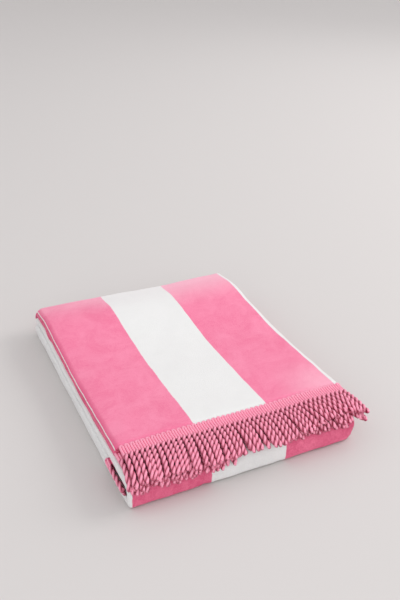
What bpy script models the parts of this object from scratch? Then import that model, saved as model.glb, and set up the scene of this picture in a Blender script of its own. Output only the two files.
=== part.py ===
"""A striped velour beach towel with a bullion fringe across each end, folded and lying flat.

The cloth is folded in three lengthwise, like a letter Z, and the three plies together are then
folded in four crosswise. Sizes are in millimetres, and the meshes in metres. X runs across the
folded towel from its free side hem, Y from the fringed front to the back, and Z up.
"""

import math

import bmesh
import bpy
import numpy as np

MM = 0.001

# The cloth and its three plies
CLOTH_THICK = 3.2
PLY_GAP = 0.7
PLY_PITCH = CLOTH_THICK + PLY_GAP
PLIES = 3
BAND_THICK = PLIES * CLOTH_THICK + (PLIES - 1) * PLY_GAP
CLOTH_WIDTH = 900.0

# The four layers of the crosswise folds, and where they turn
LAYER_GAP = 1.0
LAYER_PITCH = BAND_THICK + LAYER_GAP
STACK_HEIGHT = 4 * LAYER_PITCH - LAYER_GAP
FRINGED_END_Y = 48.7
INNER_END_Y = 72.0
FRONT_TURN_Y = 14.0
FRONT_SLOPE_Y = 18.5  # where the upper side of the front fold begins to slope down
BACK_TURN_Y = 399.5
TURN_REACH_BACK = BAND_THICK + LAYER_GAP / 2

# A row for each layer, in the order in which the cloth runs through them: its level in the stack,
# where its left crease, right crease and side hem lie, and the creases' radii
LAYERS = {
    "top": {"level": 3, "left": -2.5, "right": 307.0, "hem": -1.5, "round_left": 1.95, "round_right": 3.7},
    "second": {"level": 2, "left": -4.0, "right": 305.5, "hem": 22.0, "round_left": 3.9, "round_right": 1.95},
    "bottom": {"level": 0, "left": -4.5, "right": 307.5, "hem": 22.0, "round_left": 3.9, "round_right": 1.95},
    "inner": {"level": 1, "left": -5.5, "right": 304.5, "hem": 21.0, "round_left": 3.9, "round_right": 1.95},
}
SHAPE_KEYS = ("left", "right", "hem", "round_left", "round_right")
SWELL_RUN = 13.0  # beside a ply that stops short, a crease swells, and the middle ply eases into it over this
SWELL_OUT = 0.2  # how much of a crease's swelling shows in its reach outwards, too

# The height of the stack from front to back: low in the middle, plump at the folds
HEIGHT_AT_Y = {
    -20.0: 54.0, 49.0: 54.0, 100.0: 50.8, 160.0: 48.0, 230.0: 46.8,
    290.0: 50.0, 325.0: 53.6, 350.0: 54.6, 378.0: 51.6, 400.0: 48.0, 415.0: 48.0,
}
# What is added to that height across the towel, from the side hem to the right crease
HEIGHT_ACROSS_X = {
    -10.0: -1.6, 3.0: -1.4, 12.0: -0.2, 40.0: 0.6, 100.0: 0.8, 200.0: -0.8, 290.0: 0.6, 320.0: 0.0,
}
BOTTOM_PRESS = 0.2  # how much thinner the lowest plies are pressed than the mean ply
# The back folds aren't quite square: how much further back their left end lies, where that begins,
# over how much of the length it grows, and how far across it reaches
BACK_SKEW = 10.0
SKEW_FROM_Y = 200.0
SKEW_RUN = 190.0
SKEW_WIDE = 290.0

# The fringe: a heading tape and its twisted cords
HEADING_DEEP = 12.5
HEADING_THICK = 3.4
HEADING_START_X = 4.0
SEAM_GAP = 0.3
CORDS_A_PLY = 45
CORD_WIDE = 3.8
CORD_THICK = 2.6
CORD_ROOT = 4.4
CORD_STRAIGHT = 13.0  # how far a cord runs level before it starts to droop

# A row for each ply of the outer fringe: the cords' length, the steps along them, their twist, how
# far their tips droop, and how far they droop at the left corner
OUTER_CORDS = (
    {"length": 46.0, "steps": 8, "turns": 1.5, "droop": 44.0, "corner": 58.0},
    {"length": 46.0, "steps": 5, "turns": 0.0, "droop": 45.0, "corner": 54.0},
    {"length": 46.0, "steps": 5, "turns": 0.0, "droop": 46.0, "corner": 50.0},
)
CORNER_WIDE = 14.0
# The same for the inner fringe, whose cords lie straight in the mouth of the front fold
INNER_CORDS = (
    {"length": 46.0, "steps": 2},
    {"length": 47.5, "steps": 2},
    {"length": 46.0, "steps": 2},
)
# From the side hem to the right crease: how far the cords' tips lean aside, and what is added to
# their droop in degrees
LEAN_AT_X = {
    0.0: -3.0, 30.0: -5.0, 120.0: -3.0, 160.0: 0.0, 210.0: 1.0, 250.0: 3.5, 280.0: 5.5, 310.0: 8.5,
}
DROOP_AT_X = {0.0: 0.0, 240.0: 0.0, 280.0: -6.0, 310.0: -11.0}

STATION_YS = (49.0, 100.0, 160.0, 230.0, 290.0, 325.0, 350.0, 378.0)
BACK_TURN_STEPS = 6
FRONT_TURN_STEPS = 9
CREASE_STEPS = 5
PLY_COLUMNS = ((0.0, 0.035, 0.33, 0.66, 1.0), (0.0, 0.045, 0.35, 0.65, 0.955, 1.0), (0.0, 0.33, 0.66, 1.0))


# ---------------------------------------------------------------- numbers into shapes

def smooth_row(table, at):
    """A cubic curve through a table's rows, whose slope at each row is the mean of its two sides."""
    keys = np.array(sorted(table))
    values = np.array([table[key] for key in keys])
    slopes = np.gradient(values, keys)
    at = np.clip(np.asarray(at, float), keys[0], keys[-1])
    i = np.clip(np.searchsorted(keys, at) - 1, 0, len(keys) - 2)
    span = keys[i + 1] - keys[i]
    t = (at - keys[i]) / span
    return (
        values[i] * (1 + 2 * t) * (1 - t) ** 2
        + values[i + 1] * t * t * (3 - 2 * t)
        + span * slopes[i] * t * (1 - t) ** 2
        - span * slopes[i + 1] * t * t * (1 - t)
    )


def ease(t):
    """0 below 0 and 1 above 1, with a smooth S between them."""
    t = np.clip(t, 0.0, 1.0)
    return t * t * (3 - 2 * t)


def settled(points):
    """Points of the evenly stacked and square towel moved to where the soft stack settles."""
    x, y, z = np.asarray(points, float).T
    height = smooth_row(HEIGHT_AT_Y, y) + smooth_row(HEIGHT_ACROSS_X, x)
    share = z / STACK_HEIGHT
    skew = BACK_SKEW * ease((y - SKEW_FROM_Y) / SKEW_RUN) * np.clip(1 - x / SKEW_WIDE, 0, 1) ** 2
    return np.stack([x, y + skew, height * share * (1 - BOTTOM_PRESS + BOTTOM_PRESS * share)], axis=1)


def crease(shape, side):
    """One crease: its radius up and down, how far it reaches out, and where it turns from flat."""
    radius = shape["round_" + side]
    out = PLY_PITCH / 2 + (radius - PLY_PITCH / 2) * SWELL_OUT
    inset = CLOTH_THICK / 2 + out
    return radius, out, shape["left"] + inset if side == "left" else shape["right"] - inset


def z_fold(thick, shape, first_x, last_x, columns, crease_steps):
    """The section of a strip folded in three, as rungs from its face to its back.

    Each point is (x, depth), with the depth taken from the face of the first ply. The first ply
    runs right, the second back left under it, and the third right again; `columns` places the
    rungs along each ply as shares of its length. The creases are half ellipses, and the second ply
    eases from its own depth to that of a swollen crease.
    """
    (r_left, out_left, turn_left), (r_right, out_right, turn_right) = (
        crease(shape, side) for side in ("left", "right")
    )
    ends = ((first_x, turn_right), (turn_right, turn_left), (turn_left, last_x))
    middles, normals = [], []
    for ply, (start, end) in enumerate(ends):
        depth = CLOTH_THICK / 2 + ply * PLY_PITCH
        face_up = -1.0 if ply % 2 == 0 else 1.0
        for share in columns[ply]:
            x, swell = start + share * (end - start), 0.0
            if ply == 1:
                swell += (2 * r_right - PLY_PITCH) * ease(1 - (turn_right - x) / SWELL_RUN)
                swell -= (2 * r_left - PLY_PITCH) * ease(1 - (x - turn_left) / SWELL_RUN)
            middles.append((x, depth + swell))
            normals.append((0.0, face_up))
        if ply == PLIES - 1:
            break
        side, radius, out = (1.0, r_right, out_right) if ply == 0 else (-1.0, r_left, out_left)
        middle = depth + r_right if ply == 0 else depth + PLY_PITCH - r_left
        for step in range(1, crease_steps):
            angle = math.pi * (step / crease_steps - 0.5)
            outward = (side * math.cos(angle), math.sin(angle))
            middles.append((end + out * outward[0], middle + radius * outward[1]))
            normals.append((outward[0] * side, outward[1] * side))
    middles, normals = np.array(middles), np.array(normals)
    return middles + normals * thick / 2, middles - normals * thick / 2


def last_hem_x(shape):
    """Where the far hem comes to lie, once the cloth's width has gone into three plies and two creases."""
    (r_left, out_left, turn_left), (r_right, out_right, turn_right) = (
        crease(shape, side) for side in ("left", "right")
    )
    creases = math.pi * (r_left + out_left + r_right + out_right) / 2
    return turn_left + CLOTH_WIDTH - (turn_right - shape["hem"]) - (turn_right - turn_left) - creases


# ---------------------------------------------------------------- the crosswise folds

def layer_band(name, ys):
    """Stations along one flat layer: (y, z) on the side of the first ply's face, and on the other side."""
    base = LAYERS[name]["level"] * LAYER_PITCH
    face, other = (base + BAND_THICK, base) if name in ("top", "bottom") else (base, base + BAND_THICK)
    return [((y, face), (y, other), {name: 1.0}) for y in ys]


def back_turn(upper, lower, outer_is_face, downward):
    """Stations around a half circle at the back, from one layer to the next."""
    middle = (LAYERS[upper]["level"] * LAYER_PITCH) - LAYER_GAP / 2
    small, large = LAYER_GAP / 2, TURN_REACH_BACK
    radii = (large, small) if outer_is_face else (small, large)
    stations = []
    for step in range(1, BACK_TURN_STEPS):
        share = step / BACK_TURN_STEPS
        angle = math.pi * (0.5 - share) * (1 if downward else -1)
        band = [(BACK_TURN_Y + r * math.cos(angle), middle + r * math.sin(angle)) for r in radii]
        first, second = (upper, lower) if downward else (lower, upper)
        stations.append((band[0], band[1], {first: 1 - share, second: share}))
    return stations


def front_turn():
    """Stations around the front fold: round above, where the cords lie on it, and pressed square below."""
    middle = 1.5 * LAYER_PITCH - LAYER_GAP / 2
    inner, outer = LAYER_PITCH / 2 + LAYER_GAP / 2, middle
    stations = []
    for step in range(1, FRONT_TURN_STEPS):
        share = step / FRONT_TURN_STEPS
        angle = math.pi * (0.5 - share)
        band = []
        upper = angle > 0
        start_y = FRONT_SLOPE_Y if upper else FRONT_TURN_Y
        reach = outer + start_y - FRONT_TURN_Y
        arcs = (
            (FRONT_TURN_Y, inner, inner, 2.5),
            (start_y, reach, outer, 2.1 if upper else 6.0),
        )
        for from_y, deep, high, squareness in arcs:
            y = from_y - deep * abs(math.cos(angle)) ** (2 / squareness)
            z = middle + math.copysign(high * abs(math.sin(angle)) ** (2 / squareness), angle)
            band.append((y, z))
        stations.append((band[0], band[1], {"second": 1 - share, "bottom": share}))
    return stations


def cloth_stations():
    """All the stations of the cloth, from its fringed end on top to the end inside the stack."""
    inward = STATION_YS[::-1]
    under, over, second = layer_band("second", (FRONT_TURN_Y,))[0]
    slope = [(under, (FRONT_SLOPE_Y, over[1]), second)]
    return (
        layer_band("top", (FRINGED_END_Y, *STATION_YS[1:], BACK_TURN_Y))
        + back_turn("top", "second", True, True)
        + layer_band("second", (BACK_TURN_Y, *inward))
        + slope
        + front_turn()
        + layer_band("bottom", (FRONT_TURN_Y, *STATION_YS, BACK_TURN_Y))
        + back_turn("inner", "bottom", False, False)
        + layer_band("inner", (BACK_TURN_Y, *inward[:-1], INNER_END_Y))
    )


def blended(blend):
    """The strip's sizes between two layers."""
    return {key: sum(share * LAYERS[name][key] for name, share in blend.items()) for key in SHAPE_KEYS}


def placed(rung_points, first_side, other_side):
    """Section points (x, depth) carried to one station, whose band runs from first_side to other_side."""
    share = rung_points[:, 1] / BAND_THICK
    y = first_side[0] + share * (other_side[0] - first_side[0])
    z = first_side[1] + share * (other_side[1] - first_side[1])
    return np.stack([rung_points[:, 0], y, z], axis=1)


# ---------------------------------------------------------------- meshes

def material(name, colour, roughness):
    made = bpy.data.materials.new(name)
    made.use_nodes = True
    shader = made.node_tree.nodes["Principled BSDF"]
    shader.inputs["Base Color"].default_value = (*colour, 1.0)
    shader.inputs["Roughness"].default_value = roughness
    shader.inputs["Metallic"].default_value = 0.0
    made.diffuse_color = (*colour, 1.0)
    return made


def mesh_object(name, points, faces, made_of):
    mesh = bpy.data.meshes.new(name)
    mesh.from_pydata((np.asarray(points) * MM).tolist(), [], faces)
    shape = bmesh.new()
    shape.from_mesh(mesh)
    bmesh.ops.recalc_face_normals(shape, faces=shape.faces)
    shape.to_mesh(mesh)
    shape.free()
    mesh.materials.append(made_of)
    made = bpy.data.objects.new(name, mesh)
    bpy.context.scene.collection.objects.link(made)
    return made


def towel_cloth():
    """The folded section's outline, carried along the crosswise folds and closed at both ends."""
    rings = []
    for first_side, other_side, blend in cloth_stations():
        shape = blended(blend)
        face, back = z_fold(
            CLOTH_THICK, shape, shape["hem"], last_hem_x(shape), PLY_COLUMNS, CREASE_STEPS
        )
        # the hems are rounded by one point beyond each end of the strip
        bulge = CLOTH_THICK / 4
        near = (face[0] + back[0]) / 2 - (bulge, 0.0)
        far = (face[-1] + back[-1]) / 2 + (bulge, 0.0)
        outline = np.vstack([face, far, back[::-1], near])
        rings.append(placed(outline, first_side, other_side))
    count = len(rings[0])
    rungs = (count - 2) // 2
    faces = []
    for ring in range(len(rings) - 1):
        for i in range(count):
            j = (i + 1) % count
            a, b = ring * count, (ring + 1) * count
            faces.append((a + i, b + i, b + j, a + j))
    for base, flip in ((0, False), ((len(rings) - 1) * count, True)):
        cap = [(i, i + 1, count - 3 - i, count - 2 - i) for i in range(rungs - 1)]
        cap += [(rungs - 1, rungs, rungs + 1), (count - 1, 0, count - 2)]
        for corners in cap:
            ids = tuple(base + i for i in corners)
            faces.append(ids[::-1] if flip else ids)
    points = settled(np.vstack(rings))
    return "towel_cloth", points, faces


def heading_columns(ends):
    """Shares along each ply for the heading's rungs: both sides of each cord's root, and the ply's ends."""
    columns, roots, count = [], [], 0
    for ply, (start, end) in enumerate(ends):
        length = abs(end - start)
        middles = (np.arange(CORDS_A_PLY) + 0.5) / CORDS_A_PLY
        half = CORD_ROOT / 2 / length
        shares = np.sort(np.concatenate([middles - half, middles + half]))
        shares = np.concatenate([[0.0], shares, [1.0]])
        roots.append([count + 1 + 2 * cord for cord in range(CORDS_A_PLY)])
        columns.append(tuple(shares))
        count += len(shares) + CREASE_STEPS - 1
    return columns, roots


def zipped(front, back, front_at, back_at):
    """Triangles between two edges with unlike numbers of points, each step taken where it is shorter."""
    faces, i, j = [], 0, 0
    while i < len(front) - 1 or j < len(back) - 1:
        if j == len(back) - 1 or (i < len(front) - 1 and front_at[i + 1] <= back_at[j + 1]):
            faces.append((front[i], back[j], front[i + 1]))
            i += 1
        else:
            faces.append((front[i], back[j], back[j + 1]))
            j += 1
    return faces


def fringe(name, layer, end_y, cord_rows, cord_route):
    """A heading tape folded in three with the cloth, and the cords drawn out of its front edge."""
    row = LAYERS[layer]
    side_a, side_b, _ = layer_band(layer, (end_y,))[0]
    end_x = last_hem_x(row) - HEADING_START_X
    start_x = row["hem"] + HEADING_START_X
    turns = (crease(row, "right")[2], crease(row, "left")[2])
    ends = ((start_x, turns[0]), turns, (turns[1], end_x))
    columns, roots = heading_columns(ends)

    def edge(section_columns, y):
        face, back = z_fold(HEADING_THICK, row, start_x, end_x, section_columns, CREASE_STEPS)
        return [placed(side, (y, side_a[1]), (y, side_b[1])) for side in (face, back)]

    front = edge(columns, end_y - SEAM_GAP - HEADING_DEEP)
    behind = edge(PLY_COLUMNS, end_y - SEAM_GAP)
    n_front, n_back = len(front[0]), len(behind[0])
    points = list(settled(np.vstack(front + behind)))
    ids = [np.arange(n_front), np.arange(n_front) + n_front]
    ids += [2 * n_front + np.arange(n_back), 2 * n_front + n_back + np.arange(n_back)]

    def along(section_columns):
        """How far along the strip each rung lies, in plies and shares of a crease."""
        at = []
        for ply in range(PLIES):
            at += [ply + 0.9 * share for share in section_columns[ply]]
            if ply < PLIES - 1:
                at += [ply + 0.9 + 0.1 * step / CREASE_STEPS for step in range(1, CREASE_STEPS)]
        return at

    front_at, back_at = along(columns), along(PLY_COLUMNS)
    faces = [tri[::-1] for tri in zipped(ids[0], ids[2], front_at, back_at)]
    faces += zipped(ids[1], ids[3], front_at, back_at)
    for i in range(n_back - 1):
        faces.append((ids[2][i], ids[3][i], ids[3][i + 1], ids[2][i + 1]))
    faces.append((ids[0][0], ids[1][0], ids[3][0], ids[2][0]))
    faces.append((ids[0][-1], ids[2][-1], ids[3][-1], ids[1][-1]))
    ply_of_root = {rung: ply for ply in range(PLIES) for rung in roots[ply]}
    for i in range(n_front - 1):
        corners = (ids[0][i], ids[0][i + 1], ids[1][i + 1], ids[1][i])
        if i not in ply_of_root:
            faces.append(corners)
            continue
        ply = ply_of_root[i]
        ring = corners
        root = np.array([points[k] for k in corners])
        across = root[1] - root[0]
        side = math.copysign(1.0, across[0])
        for centre, normal, angle in cord_route(root.mean(axis=0), ply, cord_rows[ply]):
            u = np.array([side, 0.0, 0.0])
            v = np.array([0.0, *normal]) * side
            wide = CORD_WIDE / 2 * (math.cos(angle) * u + math.sin(angle) * v)
            thick = CORD_THICK / 2 * (math.cos(angle) * v - math.sin(angle) * u)
            start = len(points)
            points += [centre - wide + thick, centre + wide + thick]
            points += [centre + wide - thick, centre - wide - thick]
            new = tuple(range(start, start + 4))
            for k in range(4):
                m = (k + 1) % 4
                faces.append((ring[k], ring[m], new[m], new[k]))
            ring = new
        faces.append(ring)
    return name, np.array(points), [tuple(int(k) for k in face) for face in faces]


def hanging_route(root, ply, row):
    """A cord of the outer fringe: level at its root, then drooping over the folded edge on one arc."""
    corner = (row["corner"] - row["droop"]) * math.exp(-root[0] / CORNER_WIDE)
    droop = math.radians(row["droop"] + corner + smooth_row(DROOP_AT_X, root[0]))
    length = row["length"] + 1.2 * math.sin(root[0] / 13.0 + 2.1 * ply)
    lean = smooth_row(LEAN_AT_X, root[0]) + 1.2 * math.sin(root[0] / 9.0 + ply)
    radius = (length - CORD_STRAIGHT) / droop
    for step in range(1, row["steps"] + 1):
        share = step / row["steps"]
        run = share * length
        turned = max(0.0, run - CORD_STRAIGHT) / radius
        forward = min(run, CORD_STRAIGHT) + radius * math.sin(turned)
        drop = radius * (1 - math.cos(turned))
        at = np.array([root[0] + lean * share * share, root[1] - forward, root[2] - drop])
        yield at, (-math.sin(turned), math.cos(turned)), row["turns"] * math.tau * share


def lying_route(root, ply, row):
    """A cord of the inner fringe: straight forward between the layers."""
    for step in range(1, row["steps"] + 1):
        run = step / row["steps"] * row["length"]
        yield np.array([root[0], root[1] - run, root[2]]), (0.0, -1.0), 0.0


def main():
    for old in list(bpy.data.objects):
        bpy.data.objects.remove(old, do_unlink=True)
    velour = material("pink_velour", (0.90, 0.25, 0.39), 0.9)
    yarn = material("pink_fringe_yarn", (0.72, 0.13, 0.25), 0.75)
    pieces = [
        (*towel_cloth(), velour),
        (*fringe("fringe_outer", "top", FRINGED_END_Y, OUTER_CORDS, hanging_route), yarn),
        (*fringe("fringe_inner", "inner", INNER_END_Y, INNER_CORDS, lying_route), yarn),
    ]
    # the origin is the middle of the towel's footprint, on the surface it lies on
    everything = np.vstack([points for _, points, _, _ in pieces])
    middle = (everything.min(axis=0) + everything.max(axis=0)) / 2
    middle[2] = 0.0
    for name, points, faces, made_of in pieces:
        mesh_object(name, points - middle, faces, made_of)


main()
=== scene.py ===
"""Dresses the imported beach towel: striped cotton velour, folded, with a twisted-cord fringe at each end.

Lengths in the tables are millimetres in the towel's own measuring frame: X runs across the folded
towel from its free side hem, Y from the fringed front to the back, and Z up from the surface it
lies on. `placed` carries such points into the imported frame, in metres.
"""

import math

import bpy
import numpy as np
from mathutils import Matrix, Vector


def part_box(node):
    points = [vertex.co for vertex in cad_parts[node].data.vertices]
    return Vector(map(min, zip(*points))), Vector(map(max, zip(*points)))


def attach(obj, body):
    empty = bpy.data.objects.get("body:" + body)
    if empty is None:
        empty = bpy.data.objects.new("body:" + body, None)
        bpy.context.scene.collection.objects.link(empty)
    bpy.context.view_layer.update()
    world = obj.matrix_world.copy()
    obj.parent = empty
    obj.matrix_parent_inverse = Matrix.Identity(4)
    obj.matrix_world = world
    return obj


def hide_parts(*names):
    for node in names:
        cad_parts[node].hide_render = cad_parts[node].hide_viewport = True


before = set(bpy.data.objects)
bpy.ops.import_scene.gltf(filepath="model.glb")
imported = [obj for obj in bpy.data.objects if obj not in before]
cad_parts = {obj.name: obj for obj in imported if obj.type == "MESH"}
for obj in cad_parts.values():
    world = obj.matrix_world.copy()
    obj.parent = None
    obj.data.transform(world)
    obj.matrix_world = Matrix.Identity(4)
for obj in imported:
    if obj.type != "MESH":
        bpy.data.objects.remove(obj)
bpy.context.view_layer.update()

MM = 0.001

# The cloth, its three plies and its four crosswise layers, as the solids have them
CLOTH_WIDTH = 900.0
CLOTH_THICK = 3.2
PLY_PITCH = 3.9
BAND_THICK = 11.0
LAYER_GAP = 1.0
LAYER_PITCH = BAND_THICK + LAYER_GAP
STACK_HEIGHT = 4 * LAYER_PITCH - LAYER_GAP
FRINGED_END_Y = 48.7
INNER_END_Y = 72.0
BACK_TURN_Y = 399.5
STRIPE_WIDE = 100.0
SELVEDGE_WIDE = 0.5  # the bare white edge beside the first stripe
HEM_WIDE = 7.5  # the pile gets lower over this width, by HEM_PRESSED at the selvedge
HEM_PRESSED = 2.1
HEM_BULGE = 0.3
MIDDLE_X = 1.5 * STRIPE_WIDE  # the middle of the folded towel, which is three stripes wide

# A row for each layer, in the order in which the cloth runs through them: its level in the stack,
# where its creases and side hem lie, and the radius of each crease, which swells beside a short ply
LAYERS = {
    "top": {"level": 3, "left": -2.5, "right": 307.0, "hem": -0.5, "round_left": 1.95, "round_right": 3.7},
    "second": {"level": 2, "left": -4.0, "right": 305.5, "hem": 19.5, "round_left": 3.9, "round_right": 1.95},
    "bottom": {"level": 0, "left": -4.5, "right": 307.5, "hem": 24.5, "round_left": 3.9, "round_right": 1.95},
    "inner": {"level": 1, "left": -5.5, "right": 304.5, "hem": 21.0, "round_left": 3.9, "round_right": 1.95},
}
LAYER_NAMES = list(LAYERS)
SHAPE_KEYS = ("left", "right", "hem", "round_left", "round_right")
SWELL_RUN = 13.0
SWELL_OUT = 0.2  # how much of a crease's swelling shows in its reach outwards, too

# The height of the stack from front to back, and what is added to it across the towel
HEIGHT_AT_Y = {
    -20.0: 54.0, 49.0: 54.0, 100.0: 50.8, 160.0: 48.0, 230.0: 46.8,
    290.0: 50.0, 325.0: 53.6, 350.0: 54.6, 378.0: 51.6, 400.0: 48.0, 415.0: 48.0,
}
HEIGHT_ACROSS_X = {
    -10.0: -1.6, 3.0: -1.4, 12.0: -0.2, 40.0: 0.6, 100.0: 0.8, 200.0: -0.8, 290.0: 0.6, 320.0: 0.0,
}
BOTTOM_PRESS = 0.2  # how much more the lowest layer is pressed than the stack is on the whole

# The front fold turns from FRONT_TURN_Y forward, but its upper face from FRONT_SLOPE_Y, to which the
# layer's stations lean from SLOPED_TO_Y on. The squareness of its arcs is 2 for a circle and more
# for a squarer bend: in the mouth of the fold, and above and below on its face
FRONT_TURN_Y = 14.0
FRONT_SLOPE_Y = 18.5
SLOPED_TO_Y = 60.0
FRONT_MIDDLE_Z = 1.5 * LAYER_PITCH - LAYER_GAP / 2
MOUTH_SQUARE = 2.5
UPPER_SQUARE = 2.1
LOWER_SQUARE = 7.0
# Its right crease is drawn in to FRONT_RIGHT, from DRAWN_FROM_Y forward
FRONT_RIGHT = 300.5
DRAWN_FROM_Y = 60.0
DRAWN_RUN = 40.0
# Its lower right corner is rounded off, and a shallow dent crosses its face upright, sharp at the
# left and soft at the right. Both are deepest at the very front and fade out FACE_DEEP behind it
CORNER_ROUND = 5.0
CORNER_FROM_X = 284.0
CORNER_RUN = 16.0
CORNER_HIGH = 24.0
DENT_DEEP = 2.0
DENT_FROM_X = 82.0
DENT_SHARP = 4.0
DENT_TO_X = 101.0
DENT_SOFT = 12.0
FACE_DEEP = 12.0
# Its lower edge stands FRONT_LIFT off the floor, and comes down to it over LIFT_RUN from LIFT_FROM_Y on
FRONT_LIFT = 1.5
LIFT_FROM_Y = 20.0
LIFT_RUN = 7.0
LIFT_HIGH = 14.0
# How much further back the left end of the back folds lies, where along the towel that begins, over
# how much of its length it grows, and how far across it reaches
BACK_SKEW = 10.0
SKEW_FROM_Y = 200.0
SKEW_RUN = 190.0
SKEW_WIDE = 290.0

# The fringe: a heading of looped yarn, and the cords into which the same yarn is twisted
CORDS = 135
FRINGE_INSET = 4.0  # how far from each hem it ends
CORD_PITCH = (CLOTH_WIDTH - 2 * FRINGE_INSET) / CORDS
HEADING_DEEP = 12.5
HEADING_GAP = 0.3  # between the cloth's end and the tape
HEADING_LAP = 1.2  # how far the ribs reach back over the cloth's end
RIB_LIFT = 1.1  # how much they rise there
TAPE_THICK = 1.2
YARN_THICK = 3.7  # soft yarns, pressed into each other where they are twisted together
RIB_THICK = 3.3  # the same yarn drawn tight over the heading, as ribs
TWIST_RADIUS = 1.3
TWIST_LAY = 14.5
CORNER_LOOSE = 0.5  # how much longer the lay is at the left corner
CORD_LENGTH = 45.5
CORD_STRAIGHT = 13.0  # how far a cord runs level before it starts to droop
# The ply that a place across the flat cloth lies on: between two plies it is in the crease
PLY_AT_U = {0.0: 0, 300.0: 0, 312.0: 1, 594.0: 1, 608.0: 2, CLOTH_WIDTH: 2}
# How far the tips droop in degrees on each ply, the same at the left corner, and the power of the
# way along by which the droop grows: the upper cords arch out, and the lower ones hug the fold
DROOP_OF_PLY = (41.0, 58.0, 64.0)
CORNER_DROOP_OF_PLY = (58.0, 60.0, 62.0)
DROOP_POWER_OF_PLY = (1.0, 1.2, 1.35)
CORNER_WIDE = 14.0  # how far the left corner's own droop and lay reach
# How far the tips lean to the right, growing by this power of the way along, and what is added to
# the droop across the towel
LEAN_POWER = 1.3
LEAN_AT_X = {
    -10.0: -2.0, 0.0: -2.0, 30.0: -4.0, 120.0: 0.0, 160.0: 6.0,
    210.0: 9.0, 250.0: 15.0, 280.0: 14.0, 310.0: 7.5,
}
DROOP_AT_X = {-10.0: 0.0, 200.0: 0.0, 245.0: -9.0, 280.0: -15.0, 310.0: -20.0}
# What is added to the length of the first ply's cords, and to those of the plies under it
FIRST_AT_X = {
    -10.0: 0.0, 30.0: 1.0, 60.0: 3.0, 120.0: 3.5, 190.0: 4.5,
    220.0: 1.0, 250.0: -5.5, 275.0: -7.5, 300.0: 0.0, 310.0: 1.0,
}
UNDER_AT_X = {
    -10.0: 0.0, 2.0: 1.0, 14.0: 4.0, 35.0: 1.0, 60.0: 4.0, 90.0: 5.0,
    115.0: 4.0, 140.0: -2.0, 220.0: -3.0, 250.0: 0.0, 310.0: 1.0,
}
# How far the inner fringe's left end stands out of the stack, and how far the tips of its first ply's
# cords lean out to the left beside the hem, each fading out over its run
INNER_POKE = 2.8
POKE_RUN = 12.0
INNER_SPLAY = 17.0
SPLAY_RUN = 30.0
# One cord in twelve ends in an open eye
EYE_SHARE = 1 / 12
EYE_WIDE = 2.0
# Painted light and shade in a yarn's colour: in the cords, shade by how far out of the cord it lies and
# light by how far it looks up, and over the heading a set lightness plus light by how far up the rib it lies
PAINTED_SHADE_OUT = 0.72
PAINTED_LIGHT_UP = 0.28
RIB_PAINTED_SHADE = 0.86
RIB_PAINTED_LIGHT_UP = 0.34

# The photograph's camera, in the measuring frame
CAMERA_AT = (-206.1, -636.1, 651.0)
CAMERA_DOWN = math.radians(29.51)
CAMERA_RIGHT = math.radians(24.63)
CAMERA_LENS = 47.1


# ---------------------------------------------------------------- numbers into shapes

def smooth_row(table, at):
    """A cubic curve through a table's rows, whose slope at each row is the mean of its two sides."""
    keys = np.array(sorted(table))
    values = np.array([table[key] for key in keys])
    slopes = np.gradient(values, keys)
    at = np.clip(np.asarray(at, float), keys[0], keys[-1])
    i = np.clip(np.searchsorted(keys, at) - 1, 0, len(keys) - 2)
    span = keys[i + 1] - keys[i]
    t = (at - keys[i]) / span
    return (
        values[i] * (1 + 2 * t) * (1 - t) ** 2
        + values[i + 1] * t * t * (3 - 2 * t)
        + span * slopes[i] * t * (1 - t) ** 2
        - span * slopes[i + 1] * t * t * (1 - t)
    )


def ease(t):
    """0 below 0 and 1 above 1, with a smooth S between them."""
    t = np.clip(t, 0.0, 1.0)
    return t * t * (3 - 2 * t)


def ripple(at, waves, seed):
    """A smooth wandering line from -1 to 1: the mean of sines of the given wavelengths, at seeded phases."""
    phases = np.random.default_rng(seed).uniform(0, math.tau, len(waves))
    return sum(np.sin(math.tau * at / wave + phase) for wave, phase in zip(waves, phases)) / len(waves)


def lumps(x, y):
    """The stack's soft unevenness: crossed ripples, some along the towel and some askew."""
    return (
        0.55 * ripple(y + 0.35 * x, (171.0, 118.0, 83.0), 3)
        + 0.45 * ripple(x - 0.5 * y, (149.0, 97.0, 61.0), 5)
        + 0.22 * ripple(y - 1.3 * x, (57.0, 43.0), 8)
    )


def settled(x, y, z):
    """Points of the evenly stacked towel moved to where the soft stack settles."""
    height = smooth_row(HEIGHT_AT_Y, y) + smooth_row(HEIGHT_ACROSS_X, x) + lumps(x, y)
    share = z / STACK_HEIGHT
    return height * share * (1 - BOTTOM_PRESS + BOTTOM_PRESS * share)


def skewed(x, y):
    """The back folds, out of square: their left end lies further back, by the square of the way there."""
    return y + BACK_SKEW * ease((y - SKEW_FROM_Y) / SKEW_RUN) * np.clip(1 - x / SKEW_WIDE, 0, 1) ** 2


def dented(x, y, z):
    """The front fold's face, set back at its lower right corner, in a dent and by faint ripples."""
    corner = CORNER_ROUND * ease((x - CORNER_FROM_X) / CORNER_RUN) ** 2 * ease(1.2 - z / CORNER_HIGH)
    dent = DENT_DEEP * ease((x - DENT_FROM_X) / DENT_SHARP) * ease((DENT_TO_X - x) / DENT_SOFT)
    faint = 0.6 * ripple(x + 0.4 * z, (71.0, 43.0, 27.0), 41) + 0.8
    return y + (corner + dent + faint) * ease((FACE_DEEP - y) / FACE_DEEP)


def placed(x, y, z):
    """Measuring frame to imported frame: the left crease and the back fold are put on the solid's."""
    low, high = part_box("towel_cloth")
    leftmost = min(row["left"] for row in LAYERS.values())
    furthest = BACK_TURN_Y + BAND_THICK + LAYER_GAP / 2 + BACK_SKEW
    return np.stack([x * MM - leftmost * MM + low.x, y * MM - furthest * MM + high.y, z * MM], axis=-1)


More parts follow.
